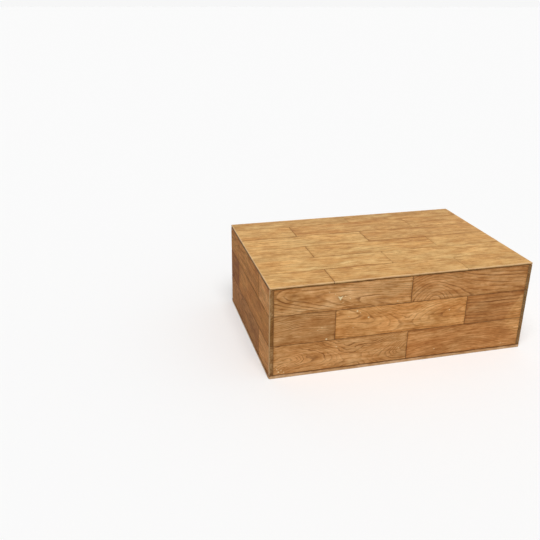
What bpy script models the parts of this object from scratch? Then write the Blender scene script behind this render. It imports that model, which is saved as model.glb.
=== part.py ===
"""Washer toss box, standing mouth down: a plywood box clad in oak strips, with a rim frame round its mouth
and a scoring cup fixed to the inside of its closed face.

Metres, +Z up. The origin lies on the surface that the rim stands on, under the middle of the box. X runs along
the length and Y across the depth, with the front at -Y. The closed face is on top and the mouth faces down, so
in play the box is turned over and the closed face becomes its floor.
"""

import math

import bmesh
import bpy
from mathutils import Matrix, Vector

# Outside of the cladding
LENGTH = 0.610
DEPTH = 0.406
HEIGHT = 0.216

# Oak strips
STRIP_WIDTH = 0.0706  # one row, its joint included
STRIP_LENGTH = 0.310  # one uncut strip, its joint included
JOINT = 0.0005  # open joint between two strips
ARRIS = 0.0006  # chamfer that eases each strip's edges
FACE_CLADDING = 0.004  # thickness on the closed face
WALL_CLADDING = 0.009  # thickness on the walls

# Plywood carcass
PLY = 0.012
GLUE_LINE = 0.0003
SHADOW_GAP = 0.0011  # above and below the wall cladding
CORNER_BLOCK = 0.018

# Rim frame round the mouth
RIM_HEIGHT = 0.007
RIM_WIDTH = 0.024
RIM_PROUD = 0.001  # how far it stands out past the cladding
RIM_CORNER = 0.005  # radius of its outer corners, in plan
RIM_ROUNDING = 0.0012
MITRE_GAP = 0.0004

# Scoring cup: a length of drain pipe over a plywood plug
CUP_OUTER = 0.05715  # radius of 4 inch pipe
CUP_WALL = 0.0060
CUP_MOUTH_HEIGHT = 0.020  # of the cup's edge above the rim's foot
CUP_SEGMENTS = 48
PLUG_THICKNESS = 0.018
LINING = 0.0035  # carpet on the floor

# Pan-head screws that hold the cup to its plug
SCREW_COUNT = 3
SCREW_SEGMENTS = 16
SCREW_HEAD = 0.0042  # radius
SCREW_DOME = 0.0022  # height of the head
SCREW_SHANK = 0.0018  # radius
SCREW_LENGTH = 0.018
SLOT_DEPTH = 0.0012
CLEARANCE = 0.0003

# Heights that follow
FACE_UNDERSIDE = HEIGHT - FACE_CLADDING
PANEL_TOP = FACE_UNDERSIDE - GLUE_LINE
PANEL_UNDERSIDE = PANEL_TOP - PLY
WALL_FOOT = RIM_HEIGHT + GLUE_LINE
WALL_TOP = PANEL_UNDERSIDE - GLUE_LINE
CLADDING_FOOT = RIM_HEIGHT + SHADOW_GAP
CLADDING_TOP = FACE_UNDERSIDE - SHADOW_GAP
LINING_FOOT = PANEL_UNDERSIDE - GLUE_LINE - LINING
PLUG_TOP = PANEL_UNDERSIDE - GLUE_LINE

# Half sizes in plan that follow
CARCASS_X = LENGTH / 2 - WALL_CLADDING - GLUE_LINE
CARCASS_Y = DEPTH / 2 - WALL_CLADDING - GLUE_LINE
INSIDE_X = CARCASS_X - PLY
INSIDE_Y = CARCASS_Y - PLY

# The first strip of each row, from the left as the face is seen from outside. Full strips follow it.
CLOSED_FACE_STARTS = (0.1403, 0.3030)  # odd rows, even rows, counted from the front
LONG_WALL_STARTS = (STRIP_LENGTH, 0.1374, STRIP_LENGTH)  # from the top row down
END_WALL_STARTS = (STRIP_LENGTH, DEPTH - STRIP_LENGTH, STRIP_LENGTH)

FRONT, BACK = 0.0, math.pi  # a wall's turn about Z from the front
LEFT, RIGHT = -math.pi / 2, math.pi / 2


# ---------------------------------------------------------------------------------------------- scene helpers

def clear_scene():
    for obj in list(bpy.data.objects):
        bpy.data.objects.remove(obj)


def new_collection(name):
    collection = bpy.data.collections.new(name)
    bpy.context.scene.collection.children.link(collection)
    return collection


def new_material(name, colour, roughness, metallic=0.0):
    material = bpy.data.materials.new(name)
    material.use_nodes = True
    shader = material.node_tree.nodes["Principled BSDF"]
    shader.inputs["Base Color"].default_value = (*colour, 1.0)
    shader.inputs["Roughness"].default_value = roughness
    shader.inputs["Metallic"].default_value = metallic
    return material


def add_object(name, mesh, material, collection, matrix=None):
    obj = bpy.data.objects.new(name, mesh)
    collection.objects.link(obj)
    if material:
        mesh.materials.clear()
        mesh.materials.append(material)
    obj.matrix_world = matrix or Matrix.Identity(4)
    return obj


def mesh_from(bm, name):
    mesh = bpy.data.meshes.new(name)
    bm.to_mesh(mesh)
    bm.free()
    return mesh


def block_mesh(name, size):
    """A box of this size, centred on its own origin."""
    bm = bmesh.new()
    bmesh.ops.create_cube(bm, size=1.0)
    bmesh.ops.scale(bm, vec=Vector(size), verts=bm.verts)
    return mesh_from(bm, name)


def rod_mesh(name, radius, length, segments):
    """A solid cylinder along Z from z = 0 up."""
    bm = bmesh.new()
    bmesh.ops.create_cone(bm, cap_ends=True, segments=segments, radius1=radius, radius2=radius, depth=length)
    bmesh.ops.translate(bm, vec=(0, 0, length / 2), verts=bm.verts)
    return mesh_from(bm, name)


def ease_edges(obj, width, segments=1):
    bevel = obj.modifiers.new("eased edges", "BEVEL")
    bevel.width = width
    bevel.segments = segments
    bevel.limit_method = "ANGLE"
    bevel.angle_limit = math.radians(40)


def block(name, low, high, material, collection, easing=0.0):
    """A box between two corners, with its origin in its middle."""
    low, high = Vector(low), Vector(high)
    obj = add_object(name, block_mesh(name, high - low), material, collection)
    obj.location = (low + high) / 2
    if easing:
        ease_edges(obj, easing)
    return obj


def turned_mesh(name, profile, segments):
    """A profile of (radius, height) points turned about Z into a closed mesh. It runs down its outer side."""
    helper = bpy.data.objects.new(name, bpy.data.meshes.new(name))
    helper.data.from_pydata(
        [(radius, 0.0, height) for radius, height in profile],
        [(i, i + 1) for i in range(len(profile) - 1)],
        [],
    )
    bpy.context.scene.collection.objects.link(helper)
    screw = helper.modifiers.new("turn", "SCREW")
    screw.steps = screw.render_steps = segments
    screw.use_merge_vertices = True
    screw.merge_threshold = 0.00001
    mesh = evaluated_mesh(helper)
    bpy.data.objects.remove(helper)
    return mesh


def evaluated_mesh(obj):
    """A copy of the object's mesh with its modifiers applied, and coinciding points made one."""
    graph = bpy.context.evaluated_depsgraph_get()
    graph.update()
    mesh = bpy.data.meshes.new_from_object(obj.evaluated_get(graph))
    bm = bmesh.new()
    bm.from_mesh(mesh)
    bmesh.ops.remove_doubles(bm, verts=bm.verts, dist=0.000005)
    bm.to_mesh(mesh)
    bm.free()
    return mesh


def cut(obj, cutter):
    boolean = obj.modifiers.new("cut", "BOOLEAN")
    boolean.operation = "DIFFERENCE"
    boolean.solver = "EXACT"
    boolean.object = cutter


def add_cutter(name, mesh, cutters):
    cutter = add_object(name, mesh, None, cutters)
    cutter.hide_render = True
    cutter.display_type = "WIRE"
    return cutter


def outline_mesh(name, loops, thickness):
    """A flat plate of this thickness from closed outlines, the later ones being holes, centred on z = 0."""
    curve = bpy.data.curves.new(name, "CURVE")
    curve.dimensions = "2D"
    curve.fill_mode = "BOTH"
    curve.extrude = thickness / 2
    for loop in loops:
        spline = curve.splines.new("POLY")
        spline.points.add(len(loop) - 1)
        for point, (x, y) in zip(spline.points, loop):
            point.co = (x, y, 0.0, 1.0)
        spline.use_cyclic_u = True
    helper = bpy.data.objects.new(name, curve)
    bpy.context.scene.collection.objects.link(helper)
    mesh = evaluated_mesh(helper)
    bpy.data.objects.remove(helper)
    return mesh


# ------------------------------------------------------------------------------------------------ oak cladding

def row_spans(width, first):
    """(start, end) of each strip along a row: one of the first length, then full ones, and what is left."""
    spans, start, end = [], 0.0, first
    while end < width - JOINT:
        spans.append((start, end))
        start, end = end, end + STRIP_LENGTH
    spans.append((start, width))
    return spans


def add_strip(name, size, centre, turn, material, collection):
    """One oak strip. Its size and centre are in the frame of a wall seen from the front, turned about Z."""
    obj = add_object(name, block_mesh(name, size), material, collection)
    turning = Matrix.Rotation(turn, 4, "Z")
    obj.matrix_world = turning @ Matrix.Translation(centre)
    ease_edges(obj, ARRIS)
    return obj


def clad_closed_face(material, collection):
    row, near = 1, -DEPTH / 2
    while near < DEPTH / 2 - JOINT:
        far = min(near + STRIP_WIDTH, DEPTH / 2)
        first = CLOSED_FACE_STARTS[(row - 1) % 2]
        for number, (start, end) in enumerate(row_spans(LENGTH, first), 1):
            size = (end - start - JOINT, far - near - JOINT, FACE_CLADDING)
            centre = ((start + end - LENGTH) / 2, (near + far) / 2, HEIGHT - FACE_CLADDING / 2)
            add_strip(f"closed_face_strip_{row}_{number}", size, centre, FRONT, material, collection)
        row, near = row + 1, far


def clad_wall(side, turn, width, outside, starts, material, collection):
    """Three rows of strips on one wall. The lower two are full width and the top one is ripped to fit."""
    feet = [CLADDING_FOOT + 2 * STRIP_WIDTH, CLADDING_FOOT + STRIP_WIDTH, CLADDING_FOOT]
    heads = [CLADDING_TOP, feet[0], feet[1]]
    for row, (foot, head, first) in enumerate(zip(feet, heads, starts), 1):
        for number, (start, end) in enumerate(row_spans(width, first), 1):
            size = (end - start - JOINT, WALL_CLADDING, head - foot - JOINT)
            centre = ((start + end - width) / 2, -outside + WALL_CLADDING / 2, (foot + head) / 2)
            add_strip(f"{side}_strip_{row}_{number}", size, centre, turn, material, collection)


def clad_walls(material, collection):
    """The end walls' strips cover the ends of the long walls' strips."""
    long_width = LENGTH - 2 * WALL_CLADDING
    for side, turn in (("front", FRONT), ("back", BACK)):
        clad_wall(side, turn, long_width, DEPTH / 2, LONG_WALL_STARTS, material, collection)
    for side, turn in (("left_end", LEFT), ("right_end", RIGHT)):
        clad_wall(side, turn, DEPTH, LENGTH / 2, END_WALL_STARTS, material, collection)


# ----------------------------------------------------------------------------------------------- plywood box

def add_carcass(ply, softwood, collection):
    block("floor_panel", (-CARCASS_X, -CARCASS_Y, PANEL_UNDERSIDE), (CARCASS_X, CARCASS_Y, PANEL_TOP),
          ply, collection)
    end_y = INSIDE_Y - GLUE_LINE  # the end walls stand between the long ones
    walls = {
        "front_wall": ((-CARCASS_X, -CARCASS_Y), (CARCASS_X, -INSIDE_Y)),
        "back_wall": ((-CARCASS_X, INSIDE_Y), (CARCASS_X, CARCASS_Y)),
        "left_wall": ((-CARCASS_X, -end_y), (-INSIDE_X, end_y)),
        "right_wall": ((INSIDE_X, -end_y), (CARCASS_X, end_y)),
    }
    for name, (low, high) in walls.items():
        block(name, (*low, WALL_FOOT), (*high, WALL_TOP), ply, collection)
    for end, x in (("left", -1), ("right", 1)):
        for side, y in (("front", -1), ("back", 1)):
            outer = Vector((x * (INSIDE_X - GLUE_LINE), y * (INSIDE_Y - GLUE_LINE)))
            inner = outer - Vector((x, y)) * CORNER_BLOCK
            low = (min(outer.x, inner.x), min(outer.y, inner.y), WALL_FOOT)
            high = (max(outer.x, inner.x), max(outer.y, inner.y), WALL_TOP)
            block(f"corner_block_{side}_{end}", low, high, softwood, collection, easing=0.0015)


# ------------------------------------------------------------------------------------------------- rim frame

def arc(centre, radius, start, end, steps):
    """Points along an arc, angles in degrees."""
    angles = [math.radians(start + (end - start) * i / steps) for i in range(steps + 1)]
    return [(centre[0] + radius * math.cos(a), centre[1] + radius * math.sin(a)) for a in angles]


def rim_outline(half_length, half_depth):
    """The front strip of a mitred frame in plan, its outer corners rounded up to each mitre."""
    inset = MITRE_GAP / math.sqrt(2)
    outer_x, outer_y = half_length - inset, -half_depth
    centre_y = outer_y + RIM_CORNER
    right = arc((outer_x - RIM_CORNER, centre_y), RIM_CORNER, -90, -45, 3)
    left = [(-x, y) for x, y in reversed(right)]
    inner_x = outer_x - RIM_WIDTH
    return left + right + [(inner_x, outer_y + RIM_WIDTH), (-inner_x, outer_y + RIM_WIDTH)]


def add_rim(material, collection):
    half_x, half_y = LENGTH / 2 + RIM_PROUD, DEPTH / 2 + RIM_PROUD
    sides = {
        "rim_front": (FRONT, half_x, half_y),
        "rim_back": (BACK, half_x, half_y),
        "rim_left": (LEFT, half_y, half_x),
        "rim_right": (RIGHT, half_y, half_x),
    }
    for name, (turn, half_length, half_depth) in sides.items():
        mesh = outline_mesh(name, [rim_outline(half_length, half_depth)], RIM_HEIGHT)
        strip = add_object(name, mesh, material, collection)
        strip.matrix_world = Matrix.Translation((0, 0, RIM_HEIGHT / 2)) @ Matrix.Rotation(turn, 4, "Z")
        ease_edges(strip, RIM_ROUNDING, segments=2)
        strip.modifiers["eased edges"].angle_limit = math.radians(60)


# ------------------------------------------------------------------------------------------- cup and lining

def add_cup(plastic, ply, collection, bores):
    """The pipe stands mouth down over its plug, and its edge is chamfered inside and out."""
    inner = CUP_OUTER - CUP_WALL
    lip = CUP_WALL * 0.25
    profile = [(CUP_OUTER, PLUG_TOP), (CUP_OUTER, CUP_MOUTH_HEIGHT + lip),
               (CUP_OUTER - lip, CUP_MOUTH_HEIGHT), (inner + lip, CUP_MOUTH_HEIGHT),
               (inner, CUP_MOUTH_HEIGHT + lip), (inner, PLUG_TOP), (CUP_OUTER, PLUG_TOP)]
    tube = add_object("cup_tube", turned_mesh("cup_tube", profile, CUP_SEGMENTS), plastic, collection)
    plug_mesh = rod_mesh("cup_plug", inner - CLEARANCE, PLUG_THICKNESS, CUP_SEGMENTS)
    plug = add_object("cup_plug", plug_mesh, ply, collection)
    plug.location.z = PLUG_TOP - PLUG_THICKNESS
    for piece in (tube, plug):
        piece.data.shade_smooth()
        piece.data.set_sharp_from_angle(angle=math.radians(30))
        for bore in bores:
            cut(piece, bore)


def screw_mesh(cutters):
    """A pan-head screw, point down, with the underside of its head at z = 0 and a cross slot in its top."""
    tip = -SCREW_LENGTH
    profile = [(0.0, SCREW_DOME), (SCREW_HEAD * 0.6, SCREW_DOME), (SCREW_HEAD, SCREW_DOME * 0.45),
               (SCREW_HEAD, 0.0), (SCREW_SHANK, 0.0), (SCREW_SHANK, tip + 2 * SCREW_SHANK), (0.0, tip)]
    helper = add_object("screw", turned_mesh("screw", profile, SCREW_SEGMENTS), None, cutters)
    arm, width = SCREW_HEAD * 1.1, SCREW_HEAD * 0.28
    for size in ((arm, width, 2 * SLOT_DEPTH), (width, arm, 2 * SLOT_DEPTH)):
        slot = add_cutter("cross_slot", block_mesh("cross_slot", size), cutters)
        slot.location.z = SCREW_DOME
        cut(helper, slot)
    mesh = evaluated_mesh(helper)
    bpy.data.objects.remove(helper)
    return mesh


def add_screws(steel, collection, cutters):
    """Screws through the pipe into the edge of its plug. It returns the cutters that bore their holes."""
    mesh = screw_mesh(cutters)
    bore_mesh = rod_mesh("screw_bore", SCREW_SHANK + CLEARANCE, SCREW_LENGTH * 1.5, SCREW_SEGMENTS)
    bore_mesh.transform(Matrix.Translation((0, 0, -SCREW_LENGTH - CLEARANCE)))
    height = PLUG_TOP - PLUG_THICKNESS / 2
    inwards = Matrix.Translation((CUP_OUTER + CLEARANCE, 0, height)) @ Matrix.Rotation(math.pi / 2, 4, "Y")
    bores = []
    for number in range(SCREW_COUNT):
        place = Matrix.Rotation(math.pi / 2 + number * 2 * math.pi / SCREW_COUNT, 4, "Z") @ inwards
        add_object(f"cup_screw_{number + 1}", mesh, steel, collection, place)
        bore = add_cutter(f"screw_bore_{number + 1}", bore_mesh, cutters)
        bore.matrix_world = place
        bores.append(bore)
    return bores


def add_lining(felt, collection):
    """The carpet under the floor panel, notched round the corner blocks and holed for the cup."""
    clear = 0.0006
    x, y = INSIDE_X - clear, INSIDE_Y - clear
    notch = CORNER_BLOCK + 2 * clear
    quarter = [(x, y - notch), (x - notch, y - notch), (x - notch, y)]
    left_quarter = [(-a, b) for a, b in reversed(quarter)]
    upper = quarter + left_quarter
    outline = upper + [(-a, -b) for a, b in upper]
    hole = arc((0, 0), CUP_OUTER + 0.0015, 0, 360, CUP_SEGMENTS)[:-1]
    mesh = outline_mesh("floor_lining", [outline, hole], LINING)
    lining = add_object("floor_lining", mesh, felt, collection)
    lining.location.z = LINING_FOOT + LINING / 2


# ------------------------------------------------------------------------------------------------------ main

def build():
    clear_scene()
    parts = new_collection("washer_toss_box")
    cutters = new_collection("cutters")
    oak = new_material("oak_strip", (0.36, 0.17, 0.062), 0.50)
    rim_oak = new_material("oak_rim", (0.46, 0.28, 0.15), 0.60)
    plywood = new_material("birch_plywood", (0.55, 0.38, 0.20), 0.70)
    softwood = new_material("softwood_block", (0.60, 0.42, 0.22), 0.75)
    plastic = new_material("pipe_plastic", (0.75, 0.75, 0.72), 0.35)
    felt = new_material("carpet_lining", (0.035, 0.085, 0.040), 0.95)
    steel = new_material("zinc_steel", (0.55, 0.55, 0.52), 0.35, metallic=1.0)

    clad_closed_face(oak, parts)
    clad_walls(oak, parts)
    add_carcass(plywood, softwood, parts)
    add_rim(rim_oak, parts)
    bores = add_screws(steel, parts, cutters)
    add_cup(plastic, plywood, parts, bores)
    add_lining(felt, parts)


build()
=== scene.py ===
"""Washer toss box, standing mouth down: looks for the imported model."""
import math
from collections import namedtuple

import bpy
import numpy as np
from mathutils import Matrix, Vector, noise


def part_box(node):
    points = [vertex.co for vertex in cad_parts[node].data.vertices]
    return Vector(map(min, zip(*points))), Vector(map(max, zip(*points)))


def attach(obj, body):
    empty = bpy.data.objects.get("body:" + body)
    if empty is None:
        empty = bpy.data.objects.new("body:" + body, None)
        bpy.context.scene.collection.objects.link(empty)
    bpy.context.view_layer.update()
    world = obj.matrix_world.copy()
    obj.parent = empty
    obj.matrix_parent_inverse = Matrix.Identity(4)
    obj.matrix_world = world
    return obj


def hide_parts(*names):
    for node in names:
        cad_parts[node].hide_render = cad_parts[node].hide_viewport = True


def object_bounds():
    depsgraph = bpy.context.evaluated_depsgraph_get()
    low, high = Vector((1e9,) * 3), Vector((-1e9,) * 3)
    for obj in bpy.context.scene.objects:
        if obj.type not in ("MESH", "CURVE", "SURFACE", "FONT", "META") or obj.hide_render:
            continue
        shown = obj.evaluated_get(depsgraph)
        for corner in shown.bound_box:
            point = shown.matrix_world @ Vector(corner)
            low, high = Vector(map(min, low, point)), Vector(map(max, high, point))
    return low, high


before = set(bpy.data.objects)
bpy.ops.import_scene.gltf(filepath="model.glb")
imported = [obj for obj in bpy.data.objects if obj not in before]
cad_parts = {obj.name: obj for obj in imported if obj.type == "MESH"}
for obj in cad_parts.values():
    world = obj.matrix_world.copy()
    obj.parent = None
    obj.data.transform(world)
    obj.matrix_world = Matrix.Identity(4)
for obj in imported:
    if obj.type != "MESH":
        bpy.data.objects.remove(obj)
cad_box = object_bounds()

MM = 0.001
LOW, HIGH = (Vector(corner) for corner in cad_box)
RIM_PROUD = 1.0 * MM  # the rim stands out past the strips, so the strips' own box is smaller by this
SHELL = Vector((HIGH.x - RIM_PROUD, HIGH.y - RIM_PROUD))
RNG = np.random.default_rng(41)

# Each face's own axes: along its rows, up across them, and outwards
FACES = {
    "closed_face": (Vector((1, 0, 0)), Vector((0, 1, 0)), Vector((0, 0, 1))),
    "front": (Vector((1, 0, 0)), Vector((0, 0, 1)), Vector((0, -1, 0))),
    "back": (Vector((-1, 0, 0)), Vector((0, 0, 1)), Vector((0, 1, 0))),
    "left_end": (Vector((0, -1, 0)), Vector((0, 0, 1)), Vector((-1, 0, 0))),
    "right_end": (Vector((0, 1, 0)), Vector((0, 0, 1)), Vector((1, 0, 0))),
}


# ---------------------------------------------------------------------------------------- node graph helper

class Graph:
    """Builds the nodes of a material or of the world. An input is a socket, a number or a tuple."""

    def __init__(self, owner):
        self.owner = owner
        owner.use_nodes = True
        self.tree = owner.node_tree
        self.tree.nodes.clear()

    def node(self, kind, inputs=(), **settings):
        made = self.tree.nodes.new(kind)
        for key, value in settings.items():
            setattr(made, key, value)
        for key, value in dict(inputs).items():
            self.put(made.inputs[key], value)
        return made

    def put(self, socket, value):
        """Links a socket or sets a value. A colour of three numbers is made opaque."""
        if isinstance(value, bpy.types.NodeSocket):
            self.tree.links.new(value, socket)
        elif value is not None:
            is_colour = socket.type == "RGBA" and len(value) == 3
            socket.default_value = (*value, 1.0) if is_colour else value

    def math(self, operation, a, b=None, c=None, clamp=False):
        made = self.node("ShaderNodeMath", operation=operation, use_clamp=clamp)
        for socket, value in zip(made.inputs, (a, b, c)):
            self.put(socket, value)
        return made.outputs[0]

    def add(self, a, b):
        return self.math("ADD", a, b)

    def sub(self, a, b):
        return self.math("SUBTRACT", a, b)

    def mul(self, a, b, *more):
        product = self.math("MULTIPLY", a, b)
        return self.mul(product, *more) if more else product

    def scaled(self, a, factor, offset=0.0):
        return self.math("MULTIPLY_ADD", a, factor, offset)

    def step(self, value, low, high):
        """0 below low and 1 above high, smooth between, or the other way round if low is the larger."""
        flip = low > high
        made = self.node("ShaderNodeMapRange", interpolation_type="SMOOTHSTEP", inputs={
            "Value": value, "From Min": min(low, high), "From Max": max(low, high),
            "To Min": 1.0 if flip else 0.0, "To Max": 0.0 if flip else 1.0})
        return made.outputs["Result"]

    def vector(self, x, y, z):
        return self.node("ShaderNodeCombineXYZ", {"X": x, "Y": y, "Z": z}).outputs[0]

    def split(self, vector):
        return self.node("ShaderNodeSeparateXYZ", {"Vector": vector}).outputs

    def attribute(self, name, output="Vector"):
        return self.node("ShaderNodeAttribute", attribute_name=name).outputs[output]

    def noise(self, x, y, z, seed, detail=2.0, rough=0.5, warp=0.0):
        """Noise from about -0.5 to 0.5, at coordinates already divided by its features' sizes."""
        made = self.node("ShaderNodeTexNoise", noise_dimensions="4D", inputs={
            "Vector": self.vector(x, y, z), "W": seed, "Scale": 1.0, "Detail": detail,
            "Roughness": rough, "Distortion": warp})
        return self.sub(made.outputs["Fac"], 0.5)

    def noise_at(self, place, sizes, seed, **settings):
        """Noise at a place, its features this long in each direction. None leaves a direction out."""
        x, y, z = (0.0 if size is None else self.mul(part, 1 / size) for part, size in zip(place, sizes))
        return self.noise(x, y, z, seed, **settings)

    def mix(self, factor, a, b, blend="MIX"):
        made = self.node("ShaderNodeMix", data_type="RGBA", blend_type=blend)
        self.put(made.inputs["Factor"], factor)
        for socket, value in zip((s for s in made.inputs if s.type == "RGBA"), (a, b)):
            self.put(socket, value)
        return next(s for s in made.outputs if s.type == "RGBA")

    def tint(self, colour, factors):
        """The colour times another colour, or times factors for red, green and blue."""
        return self.mix(1.0, colour, factors, "MULTIPLY")

    def shade(self, colour, factor):
        """The colour times a number from a socket."""
        return self.tint(colour, self.vector(factor, factor, factor))

    def brown(self, colour, factor):
        """As shade, but the darker it gets the browner, as wood does."""
        dim = self.math("MINIMUM", self.math("MAXIMUM", factor, 0.15), 1.0)
        lift = self.math("MAXIMUM", factor, 1.0)
        shares = [self.mul(self.math("POWER", dim, down), self.math("POWER", lift, up))
                  for down, up in ((1.0, 0.9), (1.5, 1.3), (2.4, 1.9))]
        return self.tint(colour, self.vector(*shares))

    def seen_directly(self):
        """1 where the camera, a reflection or a see-through surface looks, 0 where light bounces softly."""
        path = self.node("ShaderNodeLightPath").outputs
        seen = self.math("MAXIMUM", path["Is Camera Ray"], path["Is Glossy Ray"])
        return self.math("MAXIMUM", seen, path["Is Transmission Ray"])

    def finish(self, colour, roughness, height=None, bump=0.1 * MM, **constants):
        shader = self.node("ShaderNodeBsdfPrincipled")
        self.put(shader.inputs["Base Color"], colour)
        self.put(shader.inputs["Roughness"], roughness)
        for key, value in constants.items():
            shader.inputs[key].default_value = value
        if height is not None:
            bumps = self.node("ShaderNodeBump", {"Height": height, "Strength": 1.0, "Distance": bump})
            self.put(shader.inputs["Normal"], bumps.outputs["Normal"])
        self.node("ShaderNodeOutputMaterial", {"Surface": shader.outputs[0]})
        return self.owner


def new_material(name):
    return Graph(bpy.data.materials.new(name))


# ------------------------------------------------------------------------------------------------------ oak

# What lies on or under the oak's finish, with the painted shade in its joints and the painted highlight on
# its edges: whole colours, and factors on the colour beneath
CRACK_DIRT_AND_SHADE = (0.190, 0.084, 0.026)
WORN_WOOD_AND_HIGHLIGHT = (0.74, 0.49, 0.26)
CHIPPED_WOOD = (0.95, 0.78, 0.45)
END_GRAIN_TINT = (0.46, 0.53, 0.62)
RUBBED_PATCH_TINT = (1.27, 1.46, 1.62)


def oak_rings(g, pattern):
    """The year rings: their dark lines, and how near each point is to the early and to the late wood."""
    seed, spacing, contrast = g.split(g.attribute("rings"))
    wander = g.mul(pattern((70, 34, 34), 14.0, detail=1.0), 8.0)
    ripple = g.mul(pattern((22, 8, 8), 5.0, detail=2.5), 3.2)
    radius = g.add(g.attribute("ring", "Fac"), g.mul(g.add(wander, ripple), g.attribute("wobble", "Fac")))
    good_and_bad_years = g.noise(g.mul(radius, 1 / 13), 0.0, 0.0, g.add(seed, 9.0), detail=1.0)
    radius = g.add(radius, g.mul(good_and_bad_years, 7.0))
    count = g.math("DIVIDE", radius, spacing)
    turn, number = g.math("FRACT", count), g.math("FLOOR", count)
    early = g.math("MAXIMUM", g.step(turn, 0.34, 0.03), g.step(turn, 0.88, 1.0))
    late = g.mul(g.step(turn, 0.45, 0.9), g.step(turn, 1.0, 0.93))

    strength = g.scaled(g.noise(g.mul(number, 0.73), 0.5, 0.0, g.add(seed, 15.0), detail=0.0), 2.6, 0.95)
    fibre = pattern((20, 1.5, 1.5), 0.0, detail=3.0, rough=0.7)
    fade = g.scaled(pattern((42, 12, 12), 2.0), 3.0, 0.85)
    fade = g.math("MAXIMUM", g.add(fade, g.mul(fibre, 1.6)), 0.0)
    lines = g.math("MULTIPLY", g.mul(early, contrast), g.mul(fade, strength), clamp=True)
    return lines, early, late, fibre


def oak_wear(g, pattern, colour):
    """Lays the end grain, joints dark with dirt and painted shade, edges pale with wear and a painted
    highlight, the rubbed patch and chips over the wood's colour.
    """
    end = g.attribute("end", "Fac")
    colour = g.mix(end, colour, g.tint(colour, END_GRAIN_TINT))

    joint, open_share = g.attribute("joint", "Fac"), g.attribute("crack", "Fac")
    grime_and_shade = pattern((11, 11, 11), 7.0, detail=3.0)
    # the dark colour in the open joints is partly dirt and partly painted shade
    crack = g.step(g.add(joint, g.mul(grime_and_shade, 2.2)), 1.45, 0.10)
    sealed = g.scaled(pattern((40, 40, None), 12.0), 2.6, 1.0)
    crack = g.math("MULTIPLY", crack, g.mul(sealed, open_share), clamp=True)
    stain = g.mul(g.step(g.add(joint, g.mul(grime_and_shade, 14.0)), 7.0, 0.0), 0.55)
    colour = g.brown(colour, g.scaled(g.mul(stain, open_share), -0.30, 1.0))
    colour = g.mix(crack, colour, CRACK_DIRT_AND_SHADE)

    rub = g.mul(pattern((17, 17, 17), 8.0, detail=4.0), 5.5)
    reach = g.math("DIVIDE", g.attribute("rubbed", "Fac"), g.scaled(end, 3.0, 1.0))
    # the pale worn edges are partly wear and partly a painted highlight along the box's edges
    worn = g.step(g.math("DIVIDE", g.add(g.attribute("arris", "Fac"), rub), reach), 3.3, 0.4)
    colour = g.mix(g.mul(worn, 0.80), colour, WORN_WOOD_AND_HIGHLIGHT)
    colour = g.mix(g.attribute("patch", "Fac"), colour, g.tint(colour, RUBBED_PATCH_TINT))
    chip = g.attribute("chip", "Fac")
    return g.mix(chip, colour, CHIPPED_WOOD), crack, worn, chip


def oak(name, light, dark):
    """Ring-porous oak under an old satin finish. Every strip's figure comes from its own attributes.

    A pattern's sizes are those of its features in mm: along the grain, across it and into the wood. Its salt
    makes it differ from the other patterns of the same strip.
    """
    g = new_material(name)
    place = g.split(g.attribute("grain"))
    seed = g.split(g.attribute("rings"))[0]

    def pattern(sizes, salt, **settings):
        return g.noise_at(place, sizes, g.add(seed, salt), **settings)

    lines, early, late, fibre = oak_rings(g, pattern)
    streak = pattern((75, 4.2, 4.2), 10.0, detail=3.0, warp=0.4)
    mottle = pattern((52, 22, 22), 3.0, detail=3.0, warp=0.4)
    blotch = pattern((15, 9, 9), 6.0, detail=3.0)
    hue = pattern((85, 30, 30), 16.0, detail=2.0, warp=0.5)
    pores = g.mul(g.step(pattern((9, 0.7, 0.7), 1.0, detail=1.0), 0.05, 0.17), g.scaled(early, 0.75, 0.25))
    marks = g.step(pattern((46, 2.3, 2.3), 17.0, detail=2.0, warp=0.5), 0.10, 0.26)
    marks = g.mul(marks, g.step(mottle, 0.12, -0.12))
    rays = g.step(pattern((5, 0.3, 2.6), 4.0, detail=0.5), 0.15, 0.24)

    colour = g.mix(lines, light, dark)
    colour = g.brown(colour, g.scaled(late, 0.06, 1.0))
    colour = g.brown(colour, g.add(g.scaled(fibre, 1.15, 1.0), g.mul(streak, 0.95)))
    colour = g.brown(colour, g.add(g.scaled(mottle, 1.00, 1.0), g.mul(blotch, 0.60)))
    colour = g.tint(colour, g.vector(*(g.scaled(hue, share, 1.0) for share in (0.10, -0.22, -0.60))))
    specks = g.add(g.mul(pores, 0.32), g.add(g.mul(rays, 0.12), g.mul(marks, 0.34)))
    colour = g.brown(colour, g.sub(1.0, specks))
    colour = g.tint(colour, g.attribute("tone", "Color"))
    colour, crack, worn, chip = oak_wear(g, pattern, colour)

    roughness = g.add(g.scaled(blotch, 0.16, g.attribute("matt", "Fac")), g.mul(lines, 0.07))
    bare = g.add(g.mul(g.math("MAXIMUM", crack, worn), 0.22), g.mul(chip, 0.3))
    hollows = g.add(g.mul(pores, 0.8), g.add(g.mul(rays, 0.25), g.mul(lines, 0.25)))
    height = g.sub(g.scaled(fibre, 0.35), hollows)
    return g.finish(colour, g.add(roughness, bare), height, bump=0.14 * MM, **{"Specular IOR Level": 0.26})


# --------------------------------------------------------------------------------------------- strip shapes

NEAR_EDGE = (0.0, 0.2, 0.45, 0.8, 1.3, 2.2, 3.6)  # mm: where the mesh has points close to an edge
LEAST_GAP = 0.09


def edge_lines(length, extra=(), coarse=4.0):
    """Places in mm along a strip's side, close together near its ends and round any extra places."""
    inset = NEAR_EDGE[-1]
    places = [*NEAR_EDGE, *(length - value for value in NEAR_EDGE)]
    steps = max(2, round((length - 2 * inset) / coarse))
    places += list(np.linspace(inset, length - inset, steps + 1))
    for centre, spread in extra:
        places += list(centre + np.linspace(-spread, spread, 15))
    kept = []
    for value in sorted(value for value in places if 0.0 <= value <= length):
        if not kept or value - kept[-1] > LEAST_GAP:
            kept.append(value)
    kept[-1] = length
    return np.array(kept)


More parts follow.
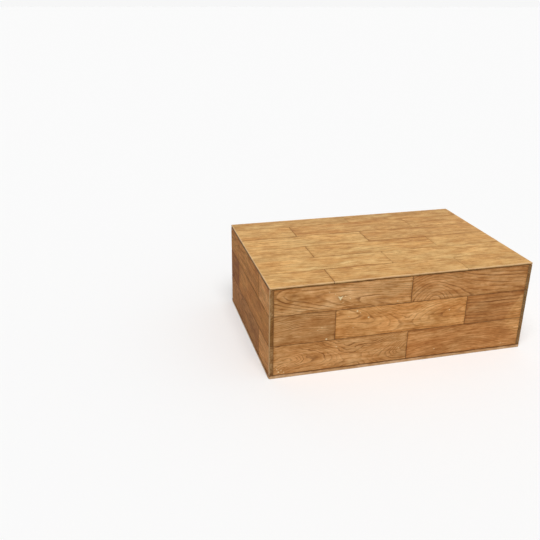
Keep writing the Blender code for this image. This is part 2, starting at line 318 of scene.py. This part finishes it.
def shell_points(lines):
    """A lattice's surface points, the quads between them, facing outwards, and which are at its two ends."""
    counts = [len(values) for values in lines]
    index = -np.ones(counts, int)
    grid = np.stack(np.meshgrid(*[np.arange(n) for n in counts], indexing="ij"), -1)
    surface = np.zeros(counts, bool)
    for axis, n in enumerate(counts):
        surface |= (grid[..., axis] == 0) | (grid[..., axis] == n - 1)
    index[surface] = np.arange(surface.sum())
    places = grid[surface]
    points = np.stack([lines[axis][places[:, axis]] for axis in range(3)], -1)
    quads, ends = [], []
    for axis in range(3):
        for side, flip in ((0, True), (-1, False)):
            sheet = np.take(index, side, axis)
            corners = [sheet[:-1, :-1], sheet[1:, :-1], sheet[1:, 1:], sheet[:-1, 1:]]
            if flip != (axis == 1):
                corners.reverse()
            made = np.stack([c.ravel() for c in corners], -1)
            quads.append(made)
            ends += [1.0 if axis == 0 else 0.0] * len(made)
    return points, np.concatenate(quads), np.array(ends)


def flow(points, size, seed):
    """Smooth noise from -1 to 1 at each point, its features about this size in mm."""
    return np.array([noise.noise(Vector((p[0] + seed * size, p[1], p[2])) / size) for p in points])


def smooth_curve(stops, places):
    """A smooth curve through stops, each one a place and then the values there."""
    stops = np.array(stops, float)
    at, values = stops[:, 0], stops[:, 1:]
    slopes = np.gradient(values, at, axis=0)
    i = np.clip(np.searchsorted(at, places) - 1, 0, len(at) - 2)
    gap = (at[i + 1] - at[i])[:, None]
    t = (np.clip(places, at[0], at[-1]) - at[i])[:, None] / gap
    ease = t * t * (3 - 2 * t)
    bend = slopes[i] * t * (1 - t) ** 2 + slopes[i + 1] * t * t * (t - 1)
    return (values[i] * (1 - ease) + values[i + 1] * ease + gap * bend).T


def ring_distance(points, width, figure):
    """Distance in mm from the tree's middle, which wanders below the strip, with swirls round small knots."""
    side, depth = smooth_curve(figure.axis, points[:, 0])
    v = points[:, 1] - width / 2
    distance = np.hypot(v - side, points[:, 2] + depth)
    for u, height, lift, reach in figure.swirls:
        distance += lift * np.exp(-((points[:, 0] - u) ** 2 / 2.2 + (v - height) ** 2) / reach ** 2)
    return distance


def rounded(points, low, high, radius):
    """Points of a box pulled in so that its edges are round. The radius may differ from point to point."""
    radius = radius[:, None]
    inner = np.clip(points, low + radius, high - radius)
    away = points - inner
    length = np.linalg.norm(away, axis=1, keepdims=True)
    return np.where(length > 1e-9, inner + away * radius / np.maximum(length, 1e-9), points)


def chip_depth(points, chip):
    """How far into one chip each point of the outer face is, from 0 outside to 1 in its middle."""
    u, v, size, kind = chip
    du, dv = (points[:, 0] - u) / size, (points[:, 1] - v) / size
    if kind == "wedge":  # a V with its point down and a notch in its top
        inside = np.minimum(0.62 * (dv + 1.0) - np.abs(du), 0.80 - dv + 0.35 * np.abs(du))
        inside = np.minimum(inside * 4.0, 1.0)
    else:
        inside = (1.0 - np.hypot(du, dv * 1.3)) * 2.0
    on_face = points[:, 2] > -0.3
    return np.clip(inside, 0.0, 1.0) * on_face


FIELDS = {"FLOAT": "value", "FLOAT_COLOR": "color", "FLOAT_VECTOR": "vector"}


def set_attribute(mesh, name, kind, domain, values):
    attribute = mesh.attributes.new(name, kind, domain)
    attribute.data.foreach_set(FIELDS[kind], np.asarray(values, np.float32).ravel())


FAR = 60.0  # mm: further from an edge than anything that depends on one
CHIP_DEPTH = 0.35  # mm


def side_distances(rest, size, open_sides):
    """Each point's distance in mm from the strip's nearest joint and from the box's nearest outer edge."""
    length, width, thickness = size
    sides = [rest[:, 0], length - rest[:, 0], rest[:, 1], width - rest[:, 1]]
    arris, joint = np.full(len(rest), FAR), np.full(len(rest), FAR)
    for is_open, distance in zip(open_sides, sides):
        if is_open:
            arris = np.minimum(arris, np.maximum(distance, -rest[:, 2]))
            # on a side that shows, the joint lies at its back edge by the shadow gap, so the dark joint
            # colour paints shade along the gap
            from_back = thickness + rest[:, 2] + 0.5
            joint = np.where(distance < 0.01, np.minimum(joint, from_back), joint)
        else:
            joint = np.minimum(joint, distance)
    return joint, arris


def edge_radius(rest, thickness, arris, look):
    """How round the strip's edges are at each point: worn and uneven where they are the box's own edges."""
    rough = flow(rest, 13.0, look["seed"]) * 0.5 + flow(rest, 4.5, look["seed"] + 31) * 0.3
    open_share = np.clip(1.6 - arris / 6.0, 0.0, 1.0)
    radius = look["easing"] * (1 + 0.4 * rough) + open_share * (0.75 + 0.7 * rough)
    return np.clip(radius, 0.15, min(thickness * 0.4, 1.9))


def face_sink(rest, size, look):
    """How far the strip's face lies below the solid's at each point: laid a little low, tilted and cupped."""
    across = 2 * rest[:, 1] / size[1] - 1
    along = 2 * rest[:, 0] / size[0] - 1
    sink = look["sink"] + look["lean"] * across + look["cup"] * across ** 2 + look["bow"] * along ** 2
    sink = sink + 0.035 * (1 + flow(rest, 38.0, look["seed"] + 11))
    return np.clip(sink, 0.0, 0.5)


def strip_mesh(name, size, open_sides, look, chips=(), reshape=None):
    """One strip with its left lower corner at the origin and its outer face at z = 0, in mm.

    open_sides says which of its left, right, lower and upper sides show on the outside of the box.
    """
    length, width, thickness = size
    extra_u = [(u, 1.3 * chip_size) for u, _, chip_size, _ in chips]
    extra_v = [(v, 1.3 * chip_size) for _, v, chip_size, _ in chips]
    through = -edge_lines(thickness, coarse=3.0)[::-1]
    rest, quads, ends = shell_points([edge_lines(length, extra_u), edge_lines(width, extra_v), through])
    joint, arris = side_distances(rest, size, open_sides)

    grow = np.where(open_sides, 0.0, look["grow"])
    lowest = np.array([-grow[0], -grow[2], -thickness])
    highest = np.array([length + grow[1], width + grow[3], 0.0])
    stretched = lowest + (rest - [0, 0, -thickness]) / [length, width, thickness] * (highest - lowest)
    points = rounded(stretched, lowest, highest, edge_radius(rest, thickness, arris, look))
    outer = np.clip(1.0 + rest[:, 2] / thickness, 0.0, 1.0)
    points[:, 2] -= face_sink(rest, size, look) * outer
    dents = np.zeros(len(rest))
    for chip in chips:
        dents = np.maximum(dents, chip_depth(rest, chip))
    points[:, 2] -= CHIP_DEPTH * dents
    if reshape:
        points = reshape(points)

    mesh = bpy.data.meshes.new(name)
    mesh.from_pydata((points * MM).tolist(), [], quads.tolist())
    mesh.update()
    set_attribute(mesh, "grain", "FLOAT_VECTOR", "POINT", rest - np.array([0, width / 2, 0]))
    set_attribute(mesh, "rings", "FLOAT_VECTOR", "POINT", np.tile(look["rings"], (len(rest), 1)))
    set_attribute(mesh, "tone", "FLOAT_COLOR", "POINT", np.tile(look["tone"], (len(rest), 1)))
    set_attribute(mesh, "end", "FLOAT", "FACE", ends)
    values = {"joint": joint, "arris": arris, "chip": dents, "patch": look["patch"](rest),
              "crack": look["crack"](rest), "ring": ring_distance(rest, width, look["figure"])}
    values |= {key: np.full(len(rest), look[key]) for key in ("wobble", "rubbed", "matt")}
    for key, value in values.items():
        set_attribute(mesh, key, "FLOAT", "POINT", value)
    mesh.shade_smooth()
    return mesh


# ---------------------------------------------------------------------------------------------- strip looks

# A strip's figure. axis is the way of the tree's middle below the strip: mm from the strip's left end, mm
# above its middle line, mm below its face. A swirl is mm from the left, mm above the middle line, mm of lift
# and mm of reach. spacing is from ring to ring in mm, contrast is how strongly the rings show and wobble how
# much they wander.
Figure = namedtuple("Figure", "axis swirls spacing contrast wobble")
FIGURES = {
    "front_strip_1_1": Figure(
        ((0, 16, 44), (110, 2, 34), (210, -14, 26), (310, -30, 20)),
        ((40, 14, -5, 15),), 3.9, 0.60, 0.45),
    "front_strip_1_2": Figure(
        ((0, -38, 46), (28, -36, 28), (57, -35, 12), (92, -37, 30), (130, -38, 44), (200, -42, 52),
         (281, -46, 56)),
        (), 6.0, 0.60, 0.8),
    "front_strip_2_1": Figure(((0, 66, 30), (70, 72, 34), (136, 66, 30)), (), 3.8, 0.50, 0.9),
    "front_strip_2_2": Figure(
        ((0, 26, 16), (60, 14, 22), (115, -6, 32), (170, -14, 40), (225, -6, 30), (309, 6, 20)),
        (), 4.3, 0.40, 1.0),
    "front_strip_2_3": Figure(((0, 62, 30), (70, 56, 34), (144, 60, 30)), (), 6.6, 0.65, 0.8),
    "front_strip_3_1": Figure(
        ((0, -10, 6), (50, -2, 15), (118, -6, 30), (180, -14, 42), (240, -20, 30), (310, -4, 8)),
        ((70, 6, 6, 14), (200, 12, -5, 18)), 3.6, 0.70, 1.7),
    "front_strip_3_2": Figure(
        ((0, 70, 60), (140, 96, 50), (281, 60, 62)), ((180, -10, 6, 34),), 5.4, 0.34, 1.4),
}
# The stains that years of use have given the strips, and painted light and shade, as factors on the oak's own
# colour
STAINS_AND_LIGHT = {
    # painted light, on the left end's strips at the near corner
    "bleached": (1.30, 1.30, 1.30),
    "golden": (1.15, 1.10, 1.00),
    "pale": (1.05, 1.08, 1.12),
    "plain": (1.00, 1.00, 1.00),
    "honey": (0.96, 0.94, 0.90),
    "dull": (0.90, 0.90, 0.90),
    "brown": (0.92, 0.88, 0.84),
    "russet": (0.90, 0.80, 0.70),
    "amber": (0.97, 0.86, 0.60),
    "red": (0.80, 0.70, 0.60),
    # the next two are painted shade, on the left end's strips at the back
    "smoked": (0.75, 0.65, 0.50),
    "dark": (0.60, 0.45, 0.20),
}
# Each strip's stain, judged row by row. The back and the right end draw theirs at random. On the left end the
# strips at the back are painted darker, as painted shade, and those at the near corner paler, as painted
# light. On the front the redder strips at the right end carry painted warm light over their stains.
STAINED_AND_LIT = {
    "front": ("pale brown", "dull golden red", "plain russet"),
    "left_end": ("amber bleached", "dark amber", "smoked bleached"),
    "closed_face": ("plain plain honey", "pale pale", "plain honey plain", "pale brown",
                    "plain brown brown", "dull dull"),
}
# Each face's tone, as factors on the oak's colour, painted light and shade for how light falls on the top,
# the front and the left end, and how much its strips differ where none has a stain
FACE_LIGHT_AND_TONES = {
    "closed_face": ((0.89, 0.99, 0.95), 0.045),
    "front": ((0.97, 0.97, 1.00), 0.03),
    "back": ((0.98, 0.98, 0.98), 0.05),
    "left_end": ((0.95, 0.90, 0.85), 0.07),
    "right_end": ((0.98, 0.97, 0.95), 0.05),
    "rim": ((1.00, 1.00, 1.00), 0.03),
}
# Chips through the finish on the front: mm from the strip's left end and lower side, size in mm, kind
CHIPS = {
    "front_strip_1_1": ((146, 26.5, 5.2, "wedge"), (157, 31, 1.4, "fleck"), (168, 24, 1.5, "fleck"),
                        (134, 38, 1.2, "fleck"), (152, 17, 1.1, "fleck"), (278, 6.4, 1.6, "fleck"),
                        (121, 44, 1.1, "fleck")),
    "front_strip_2_1": ((107, 33, 1.4, "fleck"), (118, 3.6, 2.6, "fleck"), (98, 27, 1.1, "fleck")),
    "front_strip_2_2": ((48.6, 63, 2.4, "fleck"), (56, 58, 1.4, "fleck"), (75.6, 45, 2.3, "fleck"),
                        (268.6, 41, 1.8, "fleck"), (30, 52, 1.2, "fleck"), (41, 24, 1.2, "fleck")),
    "front_strip_3_1": ((12, 7, 2.2, "fleck"), (18, 10, 1.5, "fleck"), (8, 14, 1.4, "fleck"),
                        (142, 52, 1.6, "fleck"), (24, 5, 1.4, "fleck"), (290, 30, 1.2, "fleck")),
    "front_strip_3_2": ((69, 16, 1.6, "fleck"), (240, 9, 1.2, "fleck")),
}
# The joints on the closed face that have opened and darkened with dirt and painted shade, each from one place
# to another in mm from the box's left end and front
OPEN_JOINTS = (
    ((0, 282), (135, 282)), ((307, 212), (610, 212)), ((140, 141), (305, 141)), ((140, 71), (305, 71)),
    ((140, 0), (140, 71)), ((140, 141), (140, 212)), ((140, 282), (140, 353)), ((303, 212), (303, 282)),
)
# Where the front's pale rubbed patch begins: mm up from the floor, mm from the box's left end
PATCH_EDGE = ((24, 600), (30, 596), (50, 577), (70, 565), (82, 559), (100, 569), (135, 592), (146, 600))
PATCHED = ("front_strip_2_3", "front_strip_3_2")


def front_patch(points, left, foot):
    """The pale patch rubbed on the front near its right end."""
    heights, reaches = zip(*PATCH_EDGE)
    edge = np.interp(points[:, 1] + foot, heights, reaches) + 2.5 * flow(points, 16.0, 2.0)
    rubbed = np.clip((points[:, 0] + left - edge) / 3.5, 0.0, 1.0)
    return rubbed * np.interp(points[:, 1] + foot, (76, 82), (0.45, 0.80))  # paler above the row joint


def face_joints(points, left, front):
    """How far each joint of the closed face has opened near these points."""
    here = points[:, :2] + np.array([left, front])
    near = np.full(len(points), 99.0)
    for start, end in OPEN_JOINTS:
        start, along = np.array(start, float), np.subtract(end, start)
        share = np.clip((here - start) @ along / (along @ along), 0.0, 1.0)
        near = np.minimum(near, np.linalg.norm(here - start - share[:, None] * along, axis=1))
    return 0.26 + 0.55 * np.clip(2.0 - near / 5.0, 0.0, 1.0)


def drawn_figure(length):
    """A flat-sawn, a slanting or a straight-grained figure for a strip that has none of its own."""
    kind = RNG.random()
    if kind < 0.5:
        side, depth = RNG.uniform(-22, 22), RNG.uniform(14, 30)
        slope, swing = RNG.choice([-1, 1]) * 0.07, 12
    elif kind < 0.75:
        side, depth = RNG.choice([-1, 1]) * RNG.uniform(28, 44), RNG.uniform(22, 40)
        slope, swing = 0.0, 14
    else:
        side, depth = RNG.choice([-1, 1]) * RNG.uniform(58, 85), RNG.uniform(30, 60)
        slope, swing = 0.03, 6
    stops = []
    for share in (0.0, 0.5, 1.0):
        along = share * length
        lower = depth + slope * (along - length / 2) + RNG.uniform(-swing, swing) * length / 310
        stops.append((along, side + RNG.uniform(-7, 7), max(lower, 8.0)))
    swirl = (RNG.uniform(0.1, 0.9) * length, RNG.uniform(-25, 25), RNG.uniform(-4, 3), RNG.uniform(14, 30))
    return Figure(stops, (swirl,), RNG.uniform(4.0, 5.8), RNG.uniform(0.35, 0.62), RNG.uniform(0.8, 1.4))


def own_stain_and_light(name, face):
    """The stain, with any painted light and shade, of a strip whose face shows in the photo, or None."""
    if face not in STAINED_AND_LIT:
        return None
    row, place = (int(part) - 1 for part in name.split("_")[-2:])
    return STAINS_AND_LIGHT[STAINED_AND_LIT[face][row].split()[place]]


JOINT_GROW = 0.19  # mm: each strip reaches this far into its joints, which hides the solids' gaps
GAP_GROW = 0.35  # mm: the top and bottom rows reach this far into the shadow gaps


def strip_look(name, face, size, low=Vector()):
    """Everything that tells one strip from another. The draws are made in the same order for every strip."""
    drawn = drawn_figure(size[0])
    figure = FIGURES.get(name, drawn)
    seed = RNG.uniform(0, 400)
    # a face's tone paints light and shade for how light falls on that face
    tone, spread = FACE_LIGHT_AND_TONES[face]
    light, red = RNG.normal(0, spread), RNG.normal(0, 0.018)
    # the listed stains of the front and the left end carry painted light and shade too
    stain = own_stain_and_light(name, face) or ((1 + light) * (1 + red), 1 + light, (1 + light) * (1 - red))
    is_top = face == "closed_face"
    from_left, from_front, foot = ((low - LOW) / MM)[:]
    grow = [JOINT_GROW] * 4
    if not is_top and "_strip_1_" in name:
        grow[3] = GAP_GROW
    if not is_top and "_strip_3_" in name:
        grow[2] = GAP_GROW
    look = {
        "figure": figure,
        "wobble": figure.wobble,
        "rings": (seed, figure.spacing, figure.contrast * (0.55 if is_top else 1.0)),
        "seed": seed,
        "tone": [*np.multiply(tone, stain), 1.0],
        "rubbed": 2.2 if face == "left_end" else 1.0,
        "matt": 0.60 if is_top else 0.74,
        "easing": 0.22 if is_top else 0.40,
        "grow": grow,
        "sink": RNG.uniform(0.05, 0.20),
        "lean": RNG.uniform(-0.08, 0.08),
        "cup": RNG.uniform(-0.06, 0.10),
        "bow": RNG.uniform(-0.04, 0.06),
        "patch": lambda points: np.zeros(len(points)),
        "crack": lambda points: np.full(len(points), 0.85),
    }
    if is_top:
        look["crack"] = lambda points: face_joints(points, from_left, from_front)
    if name in PATCHED:
        look["patch"] = lambda points: front_patch(points, from_left, foot)
    return look


def place(obj, face, low, high):
    """Puts a strip's own frame, in which it lies from its left lower outer corner, on its face of the box."""
    along, up, out = FACES[face]
    corner = Vector()
    for axis in range(3):
        inwards = along[axis] + up[axis] - out[axis]
        corner[axis] = low[axis] if inwards > 0 else high[axis]
    turn = Matrix((along, up, out)).transposed().to_4x4()
    obj.matrix_world = Matrix.Translation(corner) @ turn


def outer_sides(low, high, along, up):
    """Which of a strip's left, right, lower and upper sides are on the outside of the box."""
    sides = []
    for axis in (along, up):
        shell = SHELL.x if axis.x else SHELL.y if axis.y else None
        for sign in (-1, 1):
            reach = max(low.dot(axis) * sign, high.dot(axis) * sign)
            sides.append(shell is not None and abs(reach - shell) < RIM_PROUD)
    return sides


def clad():
    """Lays an oak strip over every strip of the CAD."""
    material = oak("oak_strip", light=(0.66, 0.325, 0.110), dark=(0.30, 0.120, 0.032))
    for node in sorted(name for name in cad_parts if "_strip_" in name):
        face = node.split("_strip_")[0]
        low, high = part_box(node)
        along, up, out = FACES[face]
        size = [abs((high - low).dot(axis)) / MM for axis in (along, up, out)]
        look = strip_look(node, face, size, low)
        mesh = strip_mesh(node, size, outer_sides(low, high, along, up), look, CHIPS.get(node, ()))
        add_piece(node, face, mesh, material, low, high)


def add_piece(node, face, mesh, material, low, high):
    obj = bpy.data.objects.new("oak_" + node, mesh)
    bpy.context.scene.collection.objects.link(obj)
    mesh.materials.append(material)
    place(obj, face, low, high)
    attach(obj, "root")
    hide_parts(node)


# ------------------------------------------------------------------------------------------------------ rim

RIM_CORNER = 5.0  # mm, as on the solid
MITRE_GAP = 0.28  # mm


def mitred(points, half):
    """Cuts both ends of a rim strip back at 45 degrees and rounds the frame's outer corners."""
    side = np.sign(points[:, 0] - half)
    reach = np.abs(points[:, 0] - half) * (half + points[:, 2]) / half
    beyond, outside = reach - (half - RIM_CORNER), points[:, 2] + RIM_CORNER
    far = np.hypot(beyond, outside)
    corner = (beyond > 0) & (outside > 0) & (far > RIM_CORNER)
    pull = np.where(corner, RIM_CORNER / np.maximum(far, 1e-6), 1.0)
    reach = np.where(corner, half - RIM_CORNER + beyond * pull, reach)
    depth = np.where(corner, outside * pull - RIM_CORNER, points[:, 2])
    return np.stack([half + side * reach, points[:, 1], depth], -1)


def frame_rim():
    """Lays the four mitred strips that the box stands on."""
    material = oak("oak_rim", light=(0.70, 0.42, 0.225), dark=(0.44, 0.225, 0.10))
    for node, face in (("rim_front", "front"), ("rim_back", "back"), ("rim_left", "left_end"),
                       ("rim_right", "right_end")):
        low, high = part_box(node)
        along, _, out = FACES[face]
        half = abs(HIGH.dot(along)) / MM - MITRE_GAP
        size = [2 * half, (high.z - low.z) / MM, min((high - low).x, (high - low).y) / MM]
        mesh = strip_mesh(node, size, [False, False, True, False], strip_look(node, "rim", size),
                          reshape=lambda points, half=half: mitred(points, half))
        start = -along * half * MM + out * abs(HIGH.dot(out))
        start.z = low.z
        end = start + along * 2 * half * MM - out * size[2] * MM
        end.z = high.z
        low, high = Vector(map(min, start, end)), Vector(map(max, start, end))
        add_piece(node, face, mesh, material, low, high)


# --------------------------------------------------------------------------------------------- inner pieces

def world_mm(g):
    """A point's place in the box, in mm."""
    coordinates = g.node("ShaderNodeTexCoord").outputs["Object"]
    return [g.mul(part, 1000.0) for part in g.split(coordinates)]


def bare_wood(name, light, dark, grain, bands=0.0, rough=0.7):
    """Unfinished planed wood or rotary-cut veneer, its grain along one of the box's axes."""
    g = new_material(name)
    place = world_mm(g)
    coarse = [60.0 if axis == grain else 5.0 for axis in range(3)]
    fine = [26.0 if axis == grain else 0.7 for axis in range(3)]
    figure = g.noise_at(place, coarse, 3.0, detail=4.0, warp=0.9)
    fibre = g.noise_at(place, fine, 8.0, detail=2.0)
    stain = g.noise_at(place, (55, 55, 55), 5.0, detail=3.0)
    wave = g.math("SINE", g.mul(figure, 26.0))
    amount = g.math("ADD", g.scaled(wave, bands, 0.45), g.mul(figure, 0.9), clamp=True)
    colour = g.mix(amount, light, dark)
    colour = g.shade(colour, g.add(g.scaled(fibre, 0.30, 1.0), g.mul(stain, 0.35)))
    height = g.add(fibre, g.mul(figure, 0.5))
    return g.finish(colour, g.scaled(fibre, 0.15, rough), height, bump=0.12 * MM)


def pipe_plastic():
    """White drain pipe, scuffed where washers have struck it."""
    white, scuffed = (0.74, 0.74, 0.71), (0.42, 0.41, 0.38)
    g = new_material("pipe_plastic")
    place = world_mm(g)
    marks = g.step(g.noise_at(place, (6, 6, 22), 1.0, detail=5.0, rough=0.7), 0.12, 0.24)
    cloud = g.noise_at(place, (40, 40, 60), 4.0, detail=2.0)
    colour = g.shade(g.mix(g.mul(marks, 0.35), white, scuffed), g.scaled(cloud, 0.14, 1.0))
    roughness = g.add(g.scaled(cloud, 0.2, 0.34), g.mul(marks, 0.25))
    return g.finish(colour, roughness, g.mul(marks, -1.0), bump=0.1 * MM)


def zinc_steel():
    """The screws' plating, with its fine dull spangle."""
    dull, bright = (0.52, 0.52, 0.49), (0.66, 0.65, 0.60)
    g = new_material("zinc_steel")
    spangle = g.noise_at(world_mm(g), (1.5, 1.5, 1.5), 2.0, detail=3.0)
    colour = g.mix(g.step(spangle, -0.1, 0.2), dull, bright)
    colour = g.shade(colour, g.scaled(spangle, 0.2, 1.0))
    return g.finish(colour, g.scaled(spangle, 0.3, 0.36), spangle, bump=0.03 * MM, Metallic=1.0)


def carpet_material():
    """Short felted pile: flecked green, matt, with a rough nap in fine ribs."""
    deep, tip, rib_spacing = (0.018, 0.050, 0.022), (0.060, 0.130, 0.062), 5.0
    g = new_material("carpet_lining")
    place = world_mm(g)
    tuft = g.noise_at(place, (0.9, 0.9, 0.9), 1.0, detail=3.0, rough=0.7)
    rib = g.math("SINE", g.mul(place[1], 2 * math.pi / rib_spacing))
    tread = g.noise_at(place, (70, 70, 70), 6.0, detail=3.0)
    colour = g.mix(g.step(tuft, -0.15, 0.2), deep, tip)
    colour = g.shade(colour, g.add(g.scaled(rib, 0.10, 1.0), g.mul(tread, 0.6)))
    height = g.add(g.mul(tuft, 1.6), g.mul(rib, 0.4))
    return g.finish(colour, g.scaled(tuft, 0.1, 0.93), height, bump=0.5 * MM, **{"Sheen Weight": 0.25})


def dress_inside():
    """Gives the CAD's own meshes inside the box their materials."""
    birch_x = bare_wood("birch_ply_long", (0.66, 0.50, 0.30), (0.50, 0.34, 0.18), grain=0, bands=0.16)
    birch_y = bare_wood("birch_ply_end", (0.65, 0.49, 0.29), (0.49, 0.33, 0.17), grain=1, bands=0.16)
    pine = bare_wood("softwood_block", (0.72, 0.53, 0.28), (0.52, 0.30, 0.12), grain=2, bands=0.5)
    plastic, steel = pipe_plastic(), zinc_steel()
    dress = {"floor_panel": birch_x, "front_wall": birch_x, "back_wall": birch_x, "cup_plug": birch_x,
             "left_wall": birch_y, "right_wall": birch_y, "cup_tube": plastic}
    for node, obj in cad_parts.items():
        if node.startswith("corner_block"):
            dress[node] = pine
        if node.startswith("cup_screw"):
            dress[node] = steel
        if node in dress:
            for material_slot in obj.material_slots:
                material_slot.material = dress[node]


# --------------------------------------------------------------------------------------------------- lining

BLOCK_ROOM = 0.6  # mm between the lining and each corner block
CUP_ROOM = 1.5  # mm between the lining and the cup
AROUND, RINGS = 360, 40  # points round the lining, and rings of faces from its hole to its edge
CREASE = math.radians(50)


def lining_outline(half, inner):
    """Directions round the lining, and how far off its notched edge is along each.

    half is half its size, and inner is a notch's inner corner. The directions nearest to the outline's own
    corners are moved on to them, so that the corners are sharp.
    """
    corners = [math.atan2(inner.y, half.x), math.atan2(inner.y, inner.x), math.atan2(half.y, inner.x)]
    turns = np.linspace(0, 2 * math.pi, AROUND, endpoint=False)
    for corner in corners:
        for exact in (corner, math.pi - corner, math.pi + corner, 2 * math.pi - corner):
            turns[np.argmin(np.abs(turns - exact))] = exact
    c, s = np.abs(np.cos(turns)), np.abs(np.sin(turns))
    reach = np.minimum(half.x / np.maximum(c, 1e-9), half.y / np.maximum(s, 1e-9))
    in_notch = (c * reach > inner.x + 1e-6) & (s * reach > inner.y + 1e-6)
    to_notch = np.maximum(inner.x / np.maximum(c, 1e-9), inner.y / np.maximum(s, 1e-9))
    return turns, np.where(in_notch, to_notch, reach)


def ring_faces():
    """The quads of a flat holed plate of two layers, each a set of rings from the hole outwards."""
    count = (RINGS + 1) * AROUND
    faces = []
    for i in range(AROUND):
        j = (i + 1) % AROUND
        for ring in range(RINGS):
            inner, outer = ring * AROUND, (ring + 1) * AROUND
            a, b, c, d = inner + i, inner + j, outer + j, outer + i
            faces += [(a, b, c, d), (count + a, count + d, count + c, count + b)]
        a, b = i, j
        faces.append((a, count + a, count + b, b))
        a, b = RINGS * AROUND + i, RINGS * AROUND + j
        faces.append((b, count + b, count + a, a))
    return faces


def lay_lining():
    """Carpet glued under the floor panel: its pile side faces down, into the box."""
    low, high = (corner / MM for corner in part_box("floor_lining"))
    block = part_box("corner_block_back_right")[0] / MM
    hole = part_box("cup_tube")[1].x / MM + CUP_ROOM
    half = Vector((high.x, high.y))
    inner = Vector((block.x - BLOCK_ROOM, block.y - BLOCK_ROOM))
    turns, outline = lining_outline(half, inner)

    layers = []
    for level in (low.z, high.z):
        for share in np.linspace(0, 1, RINGS + 1):
            reach = hole + (outline - hole) * share
            x, y = reach * np.cos(turns), reach * np.sin(turns)
            layers.append(np.stack([x, y, np.full(AROUND, level)], -1))
    points = np.concatenate(layers)
    pile = points[:, 2] < (low.z + high.z) / 2
    points[pile, 2] += 0.25 * (1 + flow(points[pile], 6.0, 3.3)) + 0.2 * (1 + flow(points[pile], 60.0, 8.1))

    mesh = bpy.data.meshes.new("carpet_lining")
    mesh.from_pydata((points * MM).tolist(), [], ring_faces())
    mesh.shade_smooth()
    mesh.set_sharp_from_angle(angle=CREASE)
    mesh.materials.append(carpet_material())
    lining = bpy.data.objects.new("carpet_lining", mesh)
    bpy.context.scene.collection.objects.link(lining)
    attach(lining, "root")
    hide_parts("floor_lining")


# ----------------------------------------------------------------------------------------- light and camera

SEEN_WORLD, SEEN_FLOOR = 0.93, 0.92  # the pale background, to the camera and in reflections
LIT_FLOOR = 0.42  # what the floor bounces on to the box
SCREEN_LIGHT, STUDIO_LIGHT = 0.10, 0.47  # the world's strength on the left and on the right
KEY_ENERGY, KEY_SPREAD, KEY_FROM = 0.765 * math.pi, 40, (-0.12, -0.33, 0.68)
FLOOR_REACH = 30.0  # metres
EYE = (-0.6074, -1.3889, 0.7777)
YAW, PITCH, ROLL = 14.34, 23.05, 0.43  # degrees: to the right, downwards and anticlockwise
SENSOR, FOCAL_LENGTH = 36.0, 44.12


def add_light():
    """A high soft key from the front over a studio that is darker on the left, where a dark screen stands."""
    world = bpy.data.worlds.new("studio")
    bpy.context.scene.world = world
    g = Graph(world)
    direction = g.node("ShaderNodeTexCoord").outputs["Generated"]
    side = g.node("ShaderNodeMapRange", interpolation_type="SMOOTHSTEP", inputs={
        "Value": g.split(direction)["X"], "From Min": -0.75, "From Max": 0.05,
        "To Min": SCREEN_LIGHT, "To Max": STUDIO_LIGHT}).outputs[0]
    strength = g.node("ShaderNodeMix", {"Factor": g.seen_directly(), "A": side, "B": SEEN_WORLD}).outputs[0]
    background = g.node("ShaderNodeBackground", {"Color": (1.0, 1.0, 1.0), "Strength": strength})
    g.node("ShaderNodeOutputWorld", {"Surface": background.outputs[0]})

    lamp = bpy.data.lights.new("key", "SUN")
    lamp.energy = KEY_ENERGY
    lamp.angle = math.radians(KEY_SPREAD)
    sun = bpy.data.objects.new("key", lamp)
    bpy.context.scene.collection.objects.link(sun)
    sun.rotation_euler = Vector(KEY_FROM).to_track_quat("Z", "Y").to_euler()


def add_floor():
    """A floor that is nearly white to the eye but bounces less light, and that keeps the box's shadow."""
    mesh = bpy.data.meshes.new("floor")
    corners = [(x * FLOOR_REACH, y * FLOOR_REACH, 0) for x, y in ((-1, -1), (1, -1), (1, 1), (-1, 1))]
    mesh.from_pydata(corners, [], [(0, 1, 2, 3)])
    floor = bpy.data.objects.new("floor", mesh)
    bpy.context.scene.collection.objects.link(floor)
    g = new_material("floor")
    colour = g.mix(g.seen_directly(), (LIT_FLOOR,) * 3, (SEEN_FLOOR,) * 3)
    shader = g.node("ShaderNodeBsdfDiffuse", {"Color": colour})
    g.node("ShaderNodeOutputMaterial", {"Surface": shader.outputs[0]})
    mesh.materials.append(g.owner)


def add_camera():
    """Looks from the front and a little to the left, from above."""
    lens = bpy.data.cameras.new("camera")
    lens.sensor_width = SENSOR
    lens.lens = FOCAL_LENGTH
    camera = bpy.data.objects.new("camera", lens)
    bpy.context.scene.collection.objects.link(camera)
    camera.matrix_world = (
        Matrix.Translation(EYE)
        @ Matrix.Rotation(-math.radians(YAW), 4, "Z")
        @ Matrix.Rotation(math.pi / 2 - math.radians(PITCH), 4, "X")
        @ Matrix.Rotation(math.radians(ROLL), 4, "Z")
    )
    bpy.context.scene.camera = camera


clad()
frame_rim()
dress_inside()
lay_lining()
add_light()
add_floor()
add_camera()
bpy.context.scene.view_settings.view_transform = "Standard"
